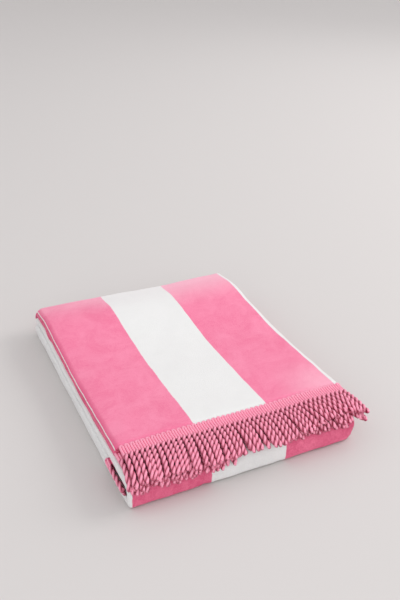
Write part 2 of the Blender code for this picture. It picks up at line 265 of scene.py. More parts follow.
def crease(shape, side):
    """One crease: its radius up and down, how far it reaches out, and where it turns from flat."""
    radius = shape["round_" + side]
    out = PLY_PITCH / 2 + (radius - PLY_PITCH / 2) * SWELL_OUT
    inset = CLOTH_THICK / 2 + out
    return radius, out, shape["left"] + inset if side == "left" else shape["right"] - inset


def strip(u, shape):
    """The folded strip's middle surface at u millimetres across the flat cloth, by arc length.

    The first ply runs right from the hem, a half circle turns it under, the second runs back left,
    and another half circle turns it into the third. Returns x, the depth below the first ply's
    face, and the unit direction in which the cloth's face looks. A swollen crease has a larger
    radius, and the second ply eases away from it to its own depth.
    """
    (r_left, out_left, turn_left), (r_right, out_right, turn_right) = (
        crease(shape, side) for side in ("left", "right")
    )
    half = CLOTH_THICK / 2
    mean_left, mean_right = (r_left + out_left) / 2, (r_right + out_right) / 2
    end_1 = turn_right - shape["hem"]
    end_2 = end_1 + math.pi * mean_right
    end_3 = end_2 + turn_right - turn_left
    end_4 = end_3 + math.pi * mean_left
    depth_2, depth_3 = half + PLY_PITCH, half + 2 * PLY_PITCH
    angle_r, angle_l = (u - end_1) / mean_right, (u - end_3) / mean_left
    x_2 = turn_right - (u - end_2)
    swell_r = (2 * r_right - PLY_PITCH) * ease(1 - (turn_right - x_2) / SWELL_RUN)
    swell_l = (2 * r_left - PLY_PITCH) * ease(1 - (x_2 - turn_left) / SWELL_RUN)
    zero, one = np.zeros_like(x_2), np.ones_like(x_2)
    on = [u < end_1, u < end_2, u < end_3, u < end_4]
    x = np.select(on, [
        shape["hem"] + u + zero, turn_right + out_right * np.sin(angle_r), x_2,
        turn_left - out_left * np.sin(angle_l),
    ], turn_left + u - end_4)
    depth = np.select(on, [
        half * one, half + r_right * (1 - np.cos(angle_r)), depth_2 + swell_r - swell_l,
        depth_3 - r_left * (1 + np.cos(angle_l)),
    ], depth_3)
    look_x = np.select(on, [zero, np.sin(angle_r), zero, np.sin(angle_l)], zero)
    look_depth = np.select(on, [-one, -np.cos(angle_r), one, np.cos(angle_l)], -one)
    return x, depth, look_x, look_depth


# ---------------------------------------------------------------- the crosswise folds

def layer_rows(name, start, end, count=400):
    """Stations along one flat layer.

    Each is a row: y and z on the first ply's side, y and z on the other side, and the share that
    each of the layers has in it.
    """
    base = LAYERS[name]["level"] * LAYER_PITCH
    face, other = (base + BAND_THICK, base) if name in ("top", "bottom") else (base, base + BAND_THICK)
    y = np.linspace(start, end, count)
    shares = np.zeros((count, len(LAYERS)))
    shares[:, LAYER_NAMES.index(name)] = 1.0
    return np.column_stack([y, np.full(count, face), y, np.full(count, other), shares])


def turn_rows(first, second, arcs, downward, count=160):
    """Stations around a fold, as the same kind of rows, with each side on an arc of a superellipse.

    Arcs gives the two sides' arcs for the stations' angles: the y and z that an arc goes round, its
    reach along y, its height from there, and its squareness, which is the superellipse's power.
    """
    share = (np.arange(1, count) / count)[:, None]
    angle = math.pi * (0.5 - share) * (1 if downward else -1)
    columns = []
    for turn_y, middle_z, reach, high, squareness in arcs(angle):
        columns.append(turn_y + reach * np.abs(np.cos(angle)) ** (2 / squareness))
        columns.append(middle_z + high * np.sign(angle) * np.abs(np.sin(angle)) ** (2 / squareness))
    shares = np.zeros((count - 1, len(LAYERS)))
    shares[:, LAYER_NAMES.index(first)] = 1 - ease(share[:, 0])
    shares[:, LAYER_NAMES.index(second)] = ease(share[:, 0])
    return np.column_stack([*columns, shares])


def back_arcs(level, outer_is_face):
    """A half circle at the back, centred between two layers."""
    middle = level * LAYER_PITCH - LAYER_GAP / 2
    radii = (BAND_THICK + LAYER_GAP / 2, LAYER_GAP / 2)
    if not outer_is_face:
        radii = radii[::-1]
    return lambda angle: [(BACK_TURN_Y, middle, radius, radius, 2.0) for radius in radii]


def front_arcs(angle):
    """The front fold: round above, where the cords lie on it, and pressed square below."""
    inner, outer = LAYER_PITCH / 2 + LAYER_GAP / 2, FRONT_MIDDLE_Z
    upper = angle > 0
    turn_y = np.where(upper, FRONT_SLOPE_Y, FRONT_TURN_Y)
    squareness = np.where(upper, UPPER_SQUARE, LOWER_SQUARE)
    return (
        (FRONT_TURN_Y, FRONT_MIDDLE_Z, -inner, inner, MOUTH_SQUARE),
        (turn_y, FRONT_MIDDLE_Z, FRONT_TURN_Y - outer - turn_y, outer, squareness),
    )


def cloth_rows():
    """All the stations of the cloth, from its fringed end on top to the end inside the stack."""
    second = layer_rows("second", BACK_TURN_Y, FRONT_TURN_Y)
    over = second[:, 2]  # the y of its upper side, which ends where the front fold's upper face begins
    evenly = (over - FRONT_TURN_Y) * (SLOPED_TO_Y - FRONT_SLOPE_Y) / (SLOPED_TO_Y - FRONT_TURN_Y)
    second[:, 2] = np.where(over < SLOPED_TO_Y, FRONT_SLOPE_Y + evenly, over)
    return np.vstack([
        layer_rows("top", FRINGED_END_Y, BACK_TURN_Y),
        turn_rows("top", "second", back_arcs(3, True), True),
        second,
        turn_rows("second", "bottom", front_arcs, True),
        layer_rows("bottom", FRONT_TURN_Y, BACK_TURN_Y),
        turn_rows("bottom", "inner", back_arcs(1, False), False),
        layer_rows("inner", BACK_TURN_Y, INNER_END_Y),
    ])


def evened(rows, flat_step, turn_step):
    """The stations re-spaced along the cloth, and how far along it each lies.

    They are flat_step apart on the layers, and turn_step apart around the folds and close to them.
    """
    middle = (rows[:, 0:2] + rows[:, 2:4]) / 2
    along = np.concatenate([[0.0], np.cumsum(np.linalg.norm(np.diff(middle, axis=0), axis=1))])
    by_front, by_back = 14.0, 8.0
    turning = rows[:, 4:].max(axis=1) < 0.999
    close = (np.abs(rows[:, 2] - FRONT_TURN_Y) < by_front) | (rows[:, 2] > BACK_TURN_Y - by_back)
    step = np.where(turning | close, turn_step, flat_step)
    paces = np.concatenate([[0.0], np.cumsum(np.diff(along) / step[1:])])
    at = np.linspace(0, paces[-1], int(paces[-1]) + 1)
    columns = [np.interp(at, paces, column) for column in (*rows.T, along)]
    return np.column_stack(columns[:-1]), columns[-1]


def shapes_of(rows, along):
    """The strip's sizes at each station: its layers' blended, and wandering a little along the cloth."""
    shape = {key: rows[:, 4:] @ np.array([LAYERS[name][key] for name in LAYERS]) for key in SHAPE_KEYS}
    shape["left"] = shape["left"] + 0.5 * ripple(along, (187.0, 103.0, 61.0), 11)
    shape["right"] = shape["right"] + 0.8 * ripple(along, (211.0, 127.0, 71.0), 12)
    shape["hem"] = shape["hem"] + 0.5 * ripple(along, (163.0, 89.0, 37.0), 13)
    lower = rows[:, 4 + LAYER_NAMES.index("second")] + rows[:, 4 + LAYER_NAMES.index("bottom")]
    drawn_in = (shape["right"] - FRONT_RIGHT) * lower * ease((DRAWN_FROM_Y - rows[:, 2]) / DRAWN_RUN)
    shape["right"] = shape["right"] - drawn_in
    shape["hem"] = shape["hem"] - 2 * drawn_in  # so that the stripes stay in place on the outer ply
    return {key: value[:, None] for key, value in shape.items()}


def in_band(rows, x, depth):
    """Points (x, depth) of the strip at each station, carried between the band's two sides and settled."""
    share = depth / BAND_THICK
    y = rows[:, 0:1] + share * (rows[:, 2:3] - rows[:, 0:1])
    z = rows[:, 1:2] + share * (rows[:, 3:4] - rows[:, 1:2])
    x = x + np.zeros_like(y)
    lift = FRONT_LIFT * ease((LIFT_FROM_Y - y) / LIFT_RUN) * ease(1 - z / LIFT_HIGH)
    return np.stack([x, skewed(x, dented(x, y, z)), settled(x, y, z) + lift], axis=-1)


# ---------------------------------------------------------------- meshes

def mesh_piece(name, points, faces, uvs, made_of, slot_of_face=None, painted_yarn_shading=None):
    """A smooth piece from its points, its quads, a UV for every face corner, and its materials.

    The last argument, if given, is a number for each point, the painted light and shade of the yarns, which
    the materials read by that name.
    """
    mesh = bpy.data.meshes.new(name)
    mesh.vertices.add(len(points))
    mesh.vertices.foreach_set("co", np.asarray(points, np.float32).ravel())
    mesh.loops.add(faces.size)
    mesh.loops.foreach_set("vertex_index", faces.ravel().astype(np.int32))
    mesh.polygons.add(len(faces))
    mesh.polygons.foreach_set("loop_start", np.arange(0, faces.size, 4, dtype=np.int32))
    mesh.update(calc_edges=True)
    mesh.polygons.foreach_set("use_smooth", np.ones(len(faces), bool))
    for material in made_of:
        mesh.materials.append(material)
    if slot_of_face is not None:
        mesh.polygons.foreach_set("material_index", slot_of_face.astype(np.int32))
    mesh.uv_layers.new(name="UVMap").data.foreach_set("uv", np.asarray(uvs, np.float32).ravel())
    # the painted light and shade of the yarns, kept on the points for the materials
    if painted_yarn_shading is not None:
        heights = mesh.attributes.new("painted_yarn_shading", "FLOAT", "POINT")
        heights.data.foreach_set("value", painted_yarn_shading.astype(np.float32).ravel())
    mesh.update()
    piece = bpy.data.objects.new(name, mesh)
    bpy.context.scene.collection.objects.link(piece)
    return piece


def quads(rows, columns, round_rows=False, round_columns=False):
    """A grid's quads, as the rows and the columns of their corners.

    Where the grid closes on itself, the last ones' corners are one past its last row or column.
    """
    r, c = np.meshgrid(
        np.arange(rows if round_rows else rows - 1),
        np.arange(columns if round_columns else columns - 1),
        indexing="ij",
    )
    return (
        np.stack([r, r, r + 1, r + 1], axis=-1).reshape(-1, 4),
        np.stack([c, c + 1, c + 1, c], axis=-1).reshape(-1, 4),
    )


# ---------------------------------------------------------------- finishes

def linear(code):
    """An sRGB hex colour as linear RGBA."""
    channels = np.array([int(code[i:i + 2], 16) for i in (1, 3, 5)]) / 255
    return (*np.where(channels <= 0.04045, channels / 12.92, ((channels + 0.055) / 1.055) ** 2.4), 1.0)


def add(tree, kind, inputs, **settings):
    """Adds a node: each input, by name or number, is given a value or another node's output."""
    node = tree.nodes.new(kind)
    for key, value in settings.items():
        setattr(node, key, value)
    for key, value in inputs.items():
        if isinstance(value, bpy.types.NodeSocket):
            tree.links.new(value, node.inputs[key])
        else:
            node.inputs[key].default_value = value
    return node


def math_node(tree, operation, *values, clamp=False):
    """The result of a sum or function of the values, cut off at 0 and 1 if clamp says so."""
    inputs = dict(enumerate(values))
    return add(tree, "ShaderNodeMath", inputs, operation=operation, use_clamp=clamp).outputs[0]


def spread(tree, value, low, high, to_low=0.0, to_high=1.0):
    """The value's range from low to high, stretched from to_low to to_high and cut off there."""
    inputs = {"Value": value, 1: low, 2: high, 3: to_low, 4: to_high}
    return add(tree, "ShaderNodeMapRange", inputs).outputs[0]


def mixed(tree, share, first, second):
    """The first colour where the share is 0, the second where it is 1, and their mixture between."""
    return add(tree, "ShaderNodeMix", {0: share, 6: first, 7: second}, data_type="RGBA").outputs[2]


def new_material(name, **inputs):
    """A material, its node tree, and its shader with the named inputs set, as in sheen_weight=0.3."""
    made = bpy.data.materials.new(name)
    made.use_nodes = True
    shader = made.node_tree.nodes["Principled BSDF"]
    for key, value in inputs.items():
        shader.inputs[key.replace("_", " ").title().replace("Ior", "IOR")].default_value = value
    return made, made.node_tree, shader


def striped_cotton(name, pink, pink_deep, white, white_deep, pile, pile_high, sheen):
    """Cotton pile in broad stripes, dyed in the yarn, as sheared velour or as looped terry.

    The stripes follow the flat cloth's own UV, in metres, and their edges wander by half a
    millimetre where piles lean over each other. Patches where the pile is brushed one way or the
    other show as cloudy lighter and deeper areas, and the single piles as a fine grain. On the
    first ply a painted sheen lightens the back and the front right corner, and painted shade
    deepens the pink beside the side hem.
    """
    made, tree, shader = new_material(
        name, roughness=0.95, ior=1.53, specular_ior_level=0.15,
        sheen_weight=sheen, sheen_roughness=0.45, sheen_tint=linear("#FFE6EE"),
    )
    place = add(tree, "ShaderNodeTexCoord", {}).outputs
    noise = "ShaderNodeTexNoise"
    grain = add(tree, noise, {"Vector": place["Object"], "Scale": 1 / pile, "Detail": 2.0}).outputs[0]
    across = add(tree, "ShaderNodeSeparateXYZ", {0: place["UV"]}).outputs[0]

    # a sine over the stripes crosses 0 at each of their edges, which waver every 2 mm or so
    edge = add(tree, noise, {"Vector": place["Object"], "Scale": 450.0, "Detail": 1.0}).outputs[0]
    shift = math_node(tree, "MULTIPLY_ADD", edge, 0.001, -0.0005 - SELVEDGE_WIDE * MM)
    wandering = math_node(tree, "ADD", across, shift)
    wave = math_node(tree, "SINE", math_node(tree, "MULTIPLY", wandering, math.pi / (STRIPE_WIDE * MM)))
    is_pink = spread(tree, wave, -0.012, 0.012)

    # clouds some 40 mm wide, flecked by the grain of the pile
    clouds = add(tree, noise, {
        "Vector": place["Object"], "Scale": 26.0, "Detail": 6.0, "Roughness": 0.8, "Distortion": 0.5,
    }).outputs[0]
    fleck = spread(tree, grain, 0.3, 0.7, -0.35, 0.35)
    tone = math_node(tree, "ADD", spread(tree, clouds, 0.35, 0.65, 0.05, 0.95), fleck, clamp=True)
    pinks = mixed(tree, tone, linear(pink_deep), linear(pink))

    # painted sheen on the first ply: lighter at the back, where that begins further back at the left than
    # elsewhere, and at the front right corner; and painted shade, a deeper pink, beside the side hem
    at_y = add(tree, "ShaderNodeSeparateXYZ", {0: place["Object"]}).outputs[1]
    back_end = math_node(tree, "ADD", at_y, spread(tree, across, 0.03, 0.2, -0.06, 0.0))
    painted_back_sheen = spread(tree, back_end, 0.11, 0.19, 0.0, 0.55)
    forward = spread(tree, at_y, -0.08, -0.14, 0.0, 0.4)
    # painted sheen at the front right corner
    corner = math_node(tree, "MULTIPLY", spread(tree, across, 0.23, 0.28), forward)
    first_ply = spread(tree, across, 0.31, 0.33, 1.0, 0.0)
    painted_sheen = math_node(tree, "MULTIPLY", math_node(tree, "MAXIMUM", painted_back_sheen, corner), first_ply)
    pinks = mixed(tree, painted_sheen, pinks, linear("#FFD2E0"))
    # painted shade: a deeper pink beside the side hem, where the pile slopes down
    beside_hem = spread(tree, across, 0.0, 0.007, 0.8, 0.0)
    pinks = mixed(tree, beside_hem, pinks, linear("#DE4478"))

    whites = mixed(tree, tone, linear(white_deep), linear(white))
    tree.links.new(mixed(tree, is_pink, whites, pinks), shader.inputs["Base Color"])
    bump = add(tree, "ShaderNodeBump", {"Strength": pile_high, "Distance": 0.0012, "Height": grain})
    tree.links.new(bump.outputs[0], shader.inputs["Normal"])
    return made


def white_selvedge():
    """Undyed cotton selvedge: a plain woven edge, with its weft drawn as soft ribs 7.54 mm apart.

    The real weft is far closer together, and too fine to show.
    """
    made, tree, shader = new_material("undyed_cotton_selvedge", roughness=0.85, specular_ior_level=0.2)
    place = add(tree, "ShaderNodeTexCoord", {}).outputs
    rib_pitch, waves_per_unit = 0.00754, 20 / math.tau
    ribs = add(tree, "ShaderNodeTexWave", {
        "Vector": place["UV"], "Scale": 1 / (waves_per_unit * rib_pitch), "Distortion": 0.4,
    }, bands_direction="Y").outputs["Fac"]
    tree.links.new(mixed(tree, ribs, linear("#DCD9D6"), linear("#E6E4E2")), shader.inputs["Base Color"])
    bump = add(tree, "ShaderNodeBump", {"Strength": 0.25, "Distance": 0.0004, "Height": ribs})
    tree.links.new(bump.outputs[0], shader.inputs["Normal"])
    return made


def fringe_yarn(name, lit, ply_groove_shade, painted_groove_shade):
    """Mercerised cotton yarn: fine plies wound round it at a slant, about 1.1 mm apart, softly glossy.

    Its UV runs once round the yarn, and in metres along it. Its colour holds painted shade and painted
    light: darker in the grooves between the fine plies and lighter on their crowns, and darker again
    towards the groove between the yarns and on their lower sides, lighter where they look up.
    """
    made, tree, shader = new_material(
        name, roughness=0.5, ior=1.53, specular_ior_level=0.5,
        sheen_weight=0.2, sheen_roughness=0.4, sheen_tint=linear("#FFD8E4"),
    )
    place = add(tree, "ShaderNodeTexCoord", {}).outputs
    round_it, along = add(tree, "ShaderNodeSeparateXYZ", {0: place["UV"]}).outputs[:2]
    plies_round, lay = 2, 0.0022
    turns = math_node(tree, "ADD", round_it, math_node(tree, "MULTIPLY", along, 1 / lay))
    plies = math_node(tree, "SINE", math_node(tree, "MULTIPLY", turns, math.tau * plies_round))
    fluff = add(tree, "ShaderNodeTexNoise", {
        "Vector": place["Object"], "Scale": 900.0, "Detail": 2.0,
    }).outputs[0]
    height = math_node(tree, "MULTIPLY_ADD", plies, 0.5, fluff)
    # painted shade in the grooves between the fine plies, painted light on their crowns
    ply_painted_shading = mixed(tree, spread(tree, height, 0.0, 1.0), linear(ply_groove_shade), linear(lit))
    painted_yarn_shading = add(tree, "ShaderNodeAttribute", {}, attribute_name="painted_yarn_shading").outputs["Fac"]
    # painted shade: the colour darkens to the groove colour towards the cord's middle and on the yarns' lower
    # sides
    shaded = mixed(tree, spread(tree, painted_yarn_shading, 0.42, 0.92), linear(painted_groove_shade), ply_painted_shading)
    tree.links.new(shaded, shader.inputs["Base Color"])
    bump = add(tree, "ShaderNodeBump", {"Strength": 0.35, "Distance": 0.0003, "Height": height})
    tree.links.new(bump.outputs[0], shader.inputs["Normal"])
    return made


def gap_shaded_tape():
    """The heading's woven cotton tape, seen only in the gaps between the ribs of yarn; its deeper pink is
    partly painted shade in those gaps.
    """
    made, _, _ = new_material("cotton_tape_with_painted_gap_shade", base_color=linear("#D9527A"), roughness=0.9)
    return made


# ---------------------------------------------------------------- the cloth

def across_columns():
    """Where the rungs lie across the flat cloth: close at the hems and creases, and wide between."""
    knots = np.array([0.0, 10.0, 278.0, 320.0, 582.0, 626.0, 890.0, CLOTH_WIDTH])
    steps = np.array([1.0, 8.5, 1.6, 8.5, 1.6, 8.5, 1.0])
    counts = np.ceil(np.diff(knots) / steps).astype(int)
    parts = [np.linspace(a, b, n, endpoint=False) for a, b, n in zip(knots, knots[1:], counts)]
    return np.concatenate([*parts, [CLOTH_WIDTH]])


def towel_cloth():
    """The folded strip's outline carried along the crosswise folds, closed at both ends.

    Each station's outline runs along the face, round the far hem, along the back and round the
    near hem. Towards each hem the pile gets lower, down to the bare selvedge.
    """
    rows, along = evened(cloth_rows(), flat_step=8.5, turn_step=1.9)
    u = across_columns()
    n = len(u)
    x, depth, look_x, look_depth = strip(u[None, :], shapes_of(rows, along))
    from_hem = np.minimum(u, CLOTH_WIDTH - u)
    half = CLOTH_THICK / 2
    pile = half - HEM_PRESSED * ease(1 - from_hem / HEM_WIDE) ** 1.5
    face = x + look_x * pile, depth + look_depth * pile
    back = x - look_x * half, depth - look_depth * half
    rim = np.array([0.75, 0.25]) * (half + pile[0])  # two more points round each hem
    far_rim, near_rim = (
        (x[:, [i, i]] + side * HEM_BULGE, depth[:, [i, i]] + look_depth[:, [i, i]] * (rim[::side] - half))
        for i, side in ((-1, 1), (0, -1))
    )
    outline_x, outline_depth = (
        np.concatenate([face[k], far_rim[k], back[k][:, ::-1], near_rim[k]], axis=1) for k in (0, 1)
    )
    points = in_band(rows, outline_x, outline_depth)
    stations, count = points.shape[:2]
    r, c = quads(stations, count, round_columns=True)
    inner = np.arange(n - 1)
    cap = np.vstack([
        np.stack([inner, inner + 1, 2 * n - inner, 2 * n + 1 - inner], axis=1),
        [[n - 1, n, n + 1, n + 2], [2 * n + 1, 2 * n + 2, 2 * n + 3, 0]],
    ])
    faces = np.vstack([r * count + c % count, cap[:, ::-1], cap + (stations - 1) * count])
    across = np.concatenate([u, u[[-1, -1]], u[::-1], u[[0, 0]]])
    uvs = np.stack([across[faces % count], along[faces // count]], axis=-1) * MM
    middle = across[faces % count].mean(axis=1)
    velour, terry, selvedge = 0, 1, 2
    made_of = np.where((faces % count).max(axis=1) < n, velour, terry)
    made_of = np.where((middle < SELVEDGE_WIDE) | (middle > CLOTH_WIDTH - SELVEDGE_WIDE), selvedge, made_of)
    return placed(*np.moveaxis(points.reshape(-1, 3), -1, 0)), faces, uvs, made_of, along[-1]


# ---------------------------------------------------------------- the fringes

def yarn_path(turns, ribs):
    """One cord's closed loop of yarn, as (run, side, past) at each of its stations.

    The yarn runs forward over the heading and down the cord, turns round at the tip, comes back
    on the other side, and turns again behind the heading. Run is -1 behind the heading, 0 at the
    cord's root and 1 at its tip. Side is 1 on the way out and -1 on the way back. Past is 0 but in
    the turns, where it is how far out of the straight the half circle has gone, and below 0 behind.
    """
    forward = np.concatenate([np.linspace(-1, 0, ribs, endpoint=False), np.linspace(0, 1, turns)])
    straight = np.zeros(len(forward))
    bend = (np.arange(4) + 0.5) / 4 * math.pi
    run = np.concatenate([forward, np.full(4, 1.0), forward[::-1], np.full(4, -1.0)])
    side = np.concatenate([straight + 1, np.cos(bend), straight - 1, -np.cos(bend)])
    past = np.concatenate([straight, np.sin(bend), straight, -np.sin(bend)])
    return run, side, past


def cord_roots(layer, end_y):
    """Where the cords leave the folded heading, as columns with a row for each cord.

    The cords stand evenly along the flat cloth, so a few come out of the creases. Returns each
    one's place across the flat cloth, x, z, its ply from 0 to 2, and the heading's normal (x, z).
    """
    u = FRINGE_INSET + (np.arange(CORDS) + 0.5) * CORD_PITCH
    shape = {key: np.array([[LAYERS[layer][key]]]) for key in SHAPE_KEYS}
    x, depth, look_x, look_depth = (value[0][:, None] for value in strip(u[None, :], shape))
    face_z, other_z = layer_rows(layer, end_y, end_y + 1, 2)[0, [1, 3]]
    up = np.sign(face_z - other_z)
    ply = np.interp(u, list(PLY_AT_U), list(PLY_AT_U.values()))[:, None]
    return u[:, None], x, face_z - up * depth, ply, look_x, -up * look_depth


def running_sum(values, at):
    """The integral of values over at, from its start to each place, by the trapezium rule."""
    steps = (values[..., 1:] + values[..., :-1]) / 2 * np.diff(at)
    return np.concatenate([np.zeros_like(values[..., :1]), np.cumsum(steps, axis=-1)], axis=-1)


def drooping(x, ply, line, length, random):
    """A hanging cord's line: level for a little, then ever steeper.

    The slope grows by a power of the share of the bent stretch, and the run forward and the drop
    are the integrals of its cosine and sine. Returns both and the slope, for each place on the line.
    """
    plies = range(len(DROOP_OF_PLY))
    first = np.interp(ply, plies, DROOP_OF_PLY)
    corner = (np.interp(ply, plies, CORNER_DROOP_OF_PLY) - first) * np.exp(-np.maximum(x, 0) / CORNER_WIDE)
    stray = 2.0 * ripple(x + 90 * ply, (53.0, 31.0, 19.0), 31) + random.uniform(-3.5, 3.5, x.shape)
    droop = np.radians(first + corner + smooth_row(DROOP_AT_X, x) + stray)
    power = np.interp(ply, plies, DROOP_POWER_OF_PLY)
    steps = np.linspace(0, 1, 25)
    slopes = droop[..., None] * steps ** power[..., None]
    bent = length - CORD_STRAIGHT
    share = np.clip((line - CORD_STRAIGHT) / bent, 0, 1.1)
    ahead, down = (bent[..., None] * running_sum(of(slopes), steps) for of in (np.cos, np.sin))
    along = (share[:, :, None] >= steps[1:-1]).sum(axis=-1)
    part = share * (len(steps) - 1) - along
    forward, drop = (
        np.take_along_axis(run[:, 0], along, 1) * (1 - part)
        + np.take_along_axis(run[:, 0], along + 1, 1) * part
        for run in (ahead, down)
    )
    return np.minimum(line, CORD_STRAIGHT) + forward, drop, droop * share ** power


def over_fold(x, y):
    """How high a cord's middle lies where it rests on the front fold, whose face is that of front_arcs."""
    clear = TWIST_RADIUS + YARN_THICK / 2
    reach = FRONT_SLOPE_Y - FRONT_TURN_Y + FRONT_MIDDLE_Z + clear
    ahead = np.clip((FRONT_SLOPE_Y - y) / reach, 0, 1)
    high = (FRONT_MIDDLE_Z + clear) * (1 - ahead ** UPPER_SQUARE) ** (1 / UPPER_SQUARE)
    return settled(x, y, FRONT_MIDDLE_Z + high)


def poked_out(x, layer):
    """The inner fringe's left end isn't tucked in quite as far as the cloth over it."""
    return x - INNER_POKE * ease(1 - (x - LAYERS[layer]["left"]) / POKE_RUN)


def ringed(centres, first, thick, sides):
    """Rings of points round each cord's closed line, square to it, that start in the direction first."""
    tangent = np.roll(centres, -1, axis=1) - np.roll(centres, 1, axis=1)
    tangent /= np.linalg.norm(tangent, axis=-1, keepdims=True)
    first = first - tangent * (first * tangent).sum(axis=-1, keepdims=True)
    first /= np.linalg.norm(first, axis=-1, keepdims=True)
    second = np.cross(tangent, first)
    ring = np.arange(sides) / sides * math.tau
    return centres[:, :, None] + thick[..., None, None] / 2 * (
        np.cos(ring)[:, None] * first[:, :, None] + np.sin(ring)[:, None] * second[:, :, None]
    )


def ring_faces(centres, sides):
    """The quads between the rings, and their UV: once round the yarn, and in metres along it."""
    count, rings = centres.shape[:2]
    r, c = quads(rings, sides, round_rows=True, round_columns=True)
    one = (r % rings) * sides + c % sides
    faces = (one[None] + np.arange(count)[:, None, None] * rings * sides).reshape(-1, 4)
    steps = np.linalg.norm(np.roll(centres, -1, axis=1) - centres, axis=-1)
    along = np.concatenate([np.zeros((count, 1)), np.cumsum(steps, axis=1)], axis=1) * MM
    return faces, np.stack([np.broadcast_to(c / sides, (count, *c.shape)), along[:, r]], axis=-1)


def painted_shading_of_yarns(points, centres, axis, slope, s, out_x, out_z):
    """The painted light and shade of each point of the yarns: by how far it lies out of the cord, times how
    far it looks up.

    Out_x and out_z say which way is up from the fringe, and s how far down the cord a ring lies.
    Over the heading, the point's height on its own rib counts instead, as painted light on the rib's upper
    side.
    """
    outward = (points - axis[:, :, None]) / (TWIST_RADIUS + YARN_THICK / 2)
    looks_up = outward[..., 0] * out_x + (
        outward[..., 2] * np.cos(slope)[..., None] - outward[..., 1] * np.sin(slope)[..., None]
    ) * out_z
    # painted shade towards the cord's middle, times painted light where the yarn looks up
    painted_yarn_shading = np.linalg.norm(outward, axis=-1) * (PAINTED_SHADE_OUT + PAINTED_LIGHT_UP * looks_up)
    from_middle = (points - centres[:, :, None]) / (RIB_THICK / 2)
    up = from_middle[..., 0] * out_x + from_middle[..., 2] * out_z
    on_heading = ease(1 - s / 3)[..., None]
    return painted_yarn_shading * (1 - on_heading) + (RIB_PAINTED_SHADE + RIB_PAINTED_LIGHT_UP * up) * on_heading


def cords(layer, end_y, hanging, sides, samples, seed):
    """All the cords of one fringe, each a loop of yarn twisted on itself, with its part of the heading.

    A cord's line starts from the middle of the folded strip's end at its place across the cloth.
    Over the heading its two yarns lie side by side as ribs, and past it they wind round the line
    like a screw, so that only a thin lens of each shows between the other's turns. The cords lean
    aside with a power of their run, in clumps, and each is twisted a little more or less than the
    next. The yarn's section is a ring of points, square to the yarn.
    """
    random = np.random.default_rng(seed)
    each = (CORDS, 1)
    u, x, z, ply, normal_x, normal_z = cord_roots(layer, end_y)
    across_x, across_z = normal_z, -normal_x
    run, side, past = yarn_path(samples, 5)

    # each cord's length and lay, and how far its two yarns lie from its line: by the cords' pitch at
    # the heading, close together in the twist, and apart again at the tip, the more so in an open eye
    length = CORD_LENGTH - TWIST_RADIUS + np.sin(x / 13 + 2.1 * ply) + random.uniform(-2.2, 1.2, each)
    if hanging:
        length = length + smooth_row(FIRST_AT_X, x) * np.maximum(1 - ply, 0)
        length = length + smooth_row(UNDER_AT_X, x) * np.minimum(ply, 1)
    lay = TWIST_LAY * (1 + 0.10 * random.uniform(-1, 1, each) + 0.05 * ripple(u, (61.0, 37.0), seed))
    lay = lay * (1 + CORNER_LOOSE * np.exp(-np.maximum(x, 0) / CORNER_WIDE))
    s = np.maximum(run, 0) * length
    angle = math.tau / lay * s * s / (s + 2.0)
    eye = random.uniform(size=each) < EYE_SHARE
    open_tip = np.where(eye, EYE_WIDE, random.uniform(0.9, 1.4, each))
    rib_radius = CORD_PITCH / 4
    wide = rib_radius + (TWIST_RADIUS - rib_radius) * ease(s / 4)
    wide = wide * (1 + (open_tip - 1) * ease(1 - (length - s) / np.where(eye, 8.0, 5.0)))
    offset_a = side * wide * np.cos(angle)
    offset_n = side * wide * np.sin(angle)
    behind = HEADING_DEEP - rib_radius + HEADING_LAP
    line = s + np.minimum(run, 0) * behind + past * np.where(run > 0, TWIST_RADIUS * open_tip, rib_radius)
    offset_n = offset_n + RIB_LIFT * ease((-line - HEADING_DEEP + 5) / 4)

    # the line itself, which leans aside and droops over the front fold or lies flat inside the stack
    if hanging:
        forward, drop, slope = drooping(x, ply, line, length, random)
        lean = smooth_row(LEAN_AT_X, x) + 2.2 * ripple(x + 70 * ply, (59.0, 37.0, 23.0), 33)
        lean = lean + random.uniform(-1.8, 1.8, each)
    else:
        forward, drop, slope = line, 0 * line, 0 * line
        beside_hem = ease(1 - (x - LAYERS[layer]["hem"]) / SPLAY_RUN) * np.maximum(1 - ply, 0)
        lean = random.uniform(-0.8, 1.2, each) - INNER_SPLAY * beside_hem
        x = poked_out(x, layer)
    aside = lean * (np.maximum(line, 0) / length) ** LEAN_POWER
    root_y = end_y - HEADING_DEEP - HEADING_GAP
    y = root_y - forward
    level = settled(x, np.maximum(y, root_y), z) - drop
    if hanging:
        level = np.maximum(level, over_fold(x, y))
    around = offset_a * across_z + offset_n * normal_z
    centres = np.stack([
        x + aside + offset_a * across_x + offset_n * normal_x,
        y - np.sin(slope) * around,
        level + np.cos(slope) * around,
    ], axis=-1)

    # the rings' first direction turns from the heading's normal to that of the turn at the tip
    quarter = math.pi / 2
    at_tip = np.remainder(math.tau / lay * length * length / (length + 2) + quarter, math.pi) - quarter
    lead = quarter + at_tip * ease(s / length)
    lead_up = np.cos(lead) * across_z + np.sin(lead) * normal_z
    first = np.stack([
        np.cos(lead) * across_x + np.sin(lead) * normal_x, -np.sin(slope) * lead_up, np.cos(slope) * lead_up,
    ], axis=-1)
    thick = YARN_THICK + (RIB_THICK - YARN_THICK) * ease(1 - s / 6)
    points = ringed(centres, first, thick, sides)
    faces, uvs = ring_faces(centres, sides)
    # the painted light and shade of the yarns, which the yarn material reads
    painted_yarn_shading = painted_shading_of_yarns(
        points, centres, np.stack([x + aside, y, level], axis=-1), slope, s,
        (np.abs(normal_x) * np.sign(x - MIDDLE_X))[..., None], np.abs(normal_z)[..., None],
    )
    return placed(*np.moveaxis(points.reshape(-1, 3), -1, 0)), faces, uvs, painted_yarn_shading


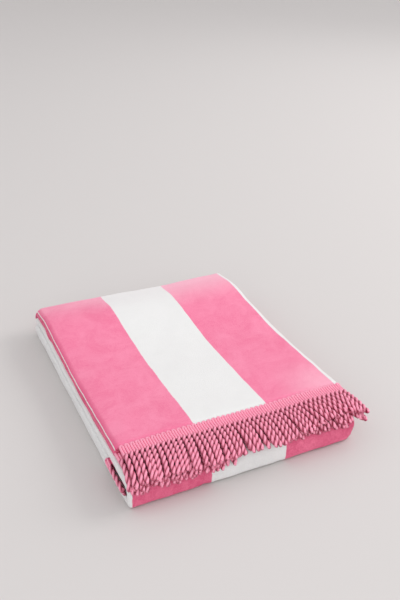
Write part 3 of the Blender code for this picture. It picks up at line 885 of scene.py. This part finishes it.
def heading(layer, end_y, hanging):
    """The narrow tape that the ribs of yarn are stitched to, in the middle of their thickness.

    It is the folded strip again, thin, and carried straight along the heading.
    """
    u = across_columns()
    u = u[(u > FRINGE_INSET) & (u < CLOTH_WIDTH - FRINGE_INSET)]
    stations = 4
    rows = layer_rows(layer, end_y - HEADING_DEEP + 0.5, end_y - HEADING_GAP, stations)
    shape = {key: np.full((stations, 1), LAYERS[layer][key]) for key in SHAPE_KEYS}
    x, depth, look_x, look_depth = strip(u[None, :], shape)
    half = TAPE_THICK / 2
    outline_x = np.concatenate([x + look_x * half, (x - look_x * half)[:, ::-1]], axis=1)
    outline_depth = np.concatenate([depth + look_depth * half, (depth - look_depth * half)[:, ::-1]], axis=1)
    points = in_band(rows, outline_x if hanging else poked_out(outline_x, layer), outline_depth)
    count, n = points.shape[1], len(u)
    r, c = quads(stations, count, round_columns=True)
    inner = np.arange(n - 1)
    cap = np.stack([inner, inner + 1, 2 * n - 2 - inner, 2 * n - 1 - inner], axis=1)
    faces = np.vstack([r * count + c % count, cap[:, ::-1], cap + (stations - 1) * count])
    across = np.concatenate([u, u[::-1]])
    uvs = np.stack([across[faces % count], rows[faces // count, 0]], axis=-1) * MM
    return placed(*np.moveaxis(points.reshape(-1, 3), -1, 0)), faces, uvs


# ---------------------------------------------------------------- the pieces

velour = striped_cotton(
    "pink_and_white_cotton_velour", "#FA8EAF", "#F1759B", "#ECEDEB", "#E9EAE8", 0.0009, 0.5, 0.5,
)
terry = striped_cotton(
    "pink_and_white_cotton_terry", "#F07A9A", "#D65279", "#ECECEB", "#E4E4E3", 0.0012, 0.8, 0.15,
)
# the yarn's lit colour, the painted shade in its ply grooves, and the painted shade between the yarns
yarn = fringe_yarn("deep_pink_cotton_yarn", "#FFB8CE", "#FB7CA0", "#980C3A")
# the tape's deeper pink is partly painted shade between the ribs
tape = gap_shaded_tape()

points, faces, uvs, slots, cloth_long = towel_cloth()
cloth = mesh_piece("striped_velour_towel", points, faces, uvs, [velour, terry, white_selvedge()], slots)
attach(cloth, "root")
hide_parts("towel_cloth")

for end, layer, end_y, hanging, sides, samples, seed in (
    ("outer", "top", FRINGED_END_Y, True, 7, 36, 21),
    ("inner", "inner", INNER_END_Y, False, 6, 28, 22),
):
    points, faces, uvs, painted_yarn_shading = cords(layer, end_y, hanging, sides, samples, seed)
    made = mesh_piece(f"cords_{end}", points, faces, uvs, [yarn], painted_yarn_shading=painted_yarn_shading)
    base = mesh_piece(f"heading_tape_{end}", *heading(layer, end_y, hanging), [tape])
    for piece in (made, base):
        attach(piece, "root")
        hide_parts(f"fringe_{end}")


# ---------------------------------------------------------------- the photograph's setting

def floor():
    """A seamless pale sheet: level under the towel, and curved up into a wall far behind it."""
    made, _, _ = new_material(
        "matt_white_paper", base_color=linear("#D5D1CF"), roughness=0.9, specular_ior_level=0.1,
    )
    half, back, bend, high = 6.0, 5.0, 2.0, 7.0
    angle = np.linspace(0, math.pi / 2, 13)
    y = np.concatenate([[-half], back + bend * np.sin(angle), [back + bend]])
    z = np.concatenate([[0.0], bend - bend * np.cos(angle), [high]])
    x = np.tile([[-half], [half]], (1, len(y)))
    points = np.stack([x, np.stack([y, y]), np.stack([z, z])], axis=-1).reshape(-1, 3)
    r, c = quads(2, len(y))
    corners = (r * len(y) + c)[:, ::-1]
    mesh_piece("paper_floor", points, corners, points[corners][..., :2], [made])


def area_light(name, at, size, power, colour="#FFFFFF"):
    """A square soft lamp, in metres and watts, that looks at the towel's middle on the floor."""
    light = bpy.data.lights.new(name, "AREA")
    light.shape, light.size, light.energy, light.color = "SQUARE", size, power, linear(colour)[:3]
    lamp = bpy.data.objects.new(name, light)
    lamp.location = at
    lamp.rotation_euler = (-lamp.location).to_track_quat("-Z", "Y").to_euler()
    bpy.context.scene.collection.objects.link(lamp)


def camera():
    """The photograph's own view, found by fitting a camera to the towel's corners."""
    lens = bpy.data.cameras.new("photo_view")
    lens.sensor_width, lens.lens, lens.clip_start = 36.0, CAMERA_LENS, 0.01
    eye = bpy.data.objects.new("photo_view", lens)
    eye.location = placed(*CAMERA_AT)
    eye.rotation_euler = (math.pi / 2 - CAMERA_DOWN, 0.0, -CAMERA_RIGHT)
    bpy.context.scene.collection.objects.link(eye)
    bpy.context.scene.camera = eye


floor()
area_light("large_soft_window", (2.2, -0.4, 1.6), 1.3, 22.5, "#FFFDFC")
area_light("fill_front_left", (-1.6, -2.2, 1.0), 1.5, 10)
area_light("fill_front", (0.6, -2.4, 1.0), 1.5, 4.5)
area_light("fill_back_right", (1.6, 1.4, 1.3), 1.3, 3)
world = bpy.data.worlds.new("soft_studio")
world.use_nodes = True
sky = world.node_tree.nodes["Background"].inputs
sky["Color"].default_value, sky["Strength"].default_value = linear("#FDFDFF"), 0.87
bpy.context.scene.world = world
bpy.context.scene.view_settings.view_transform = "Standard"
camera()
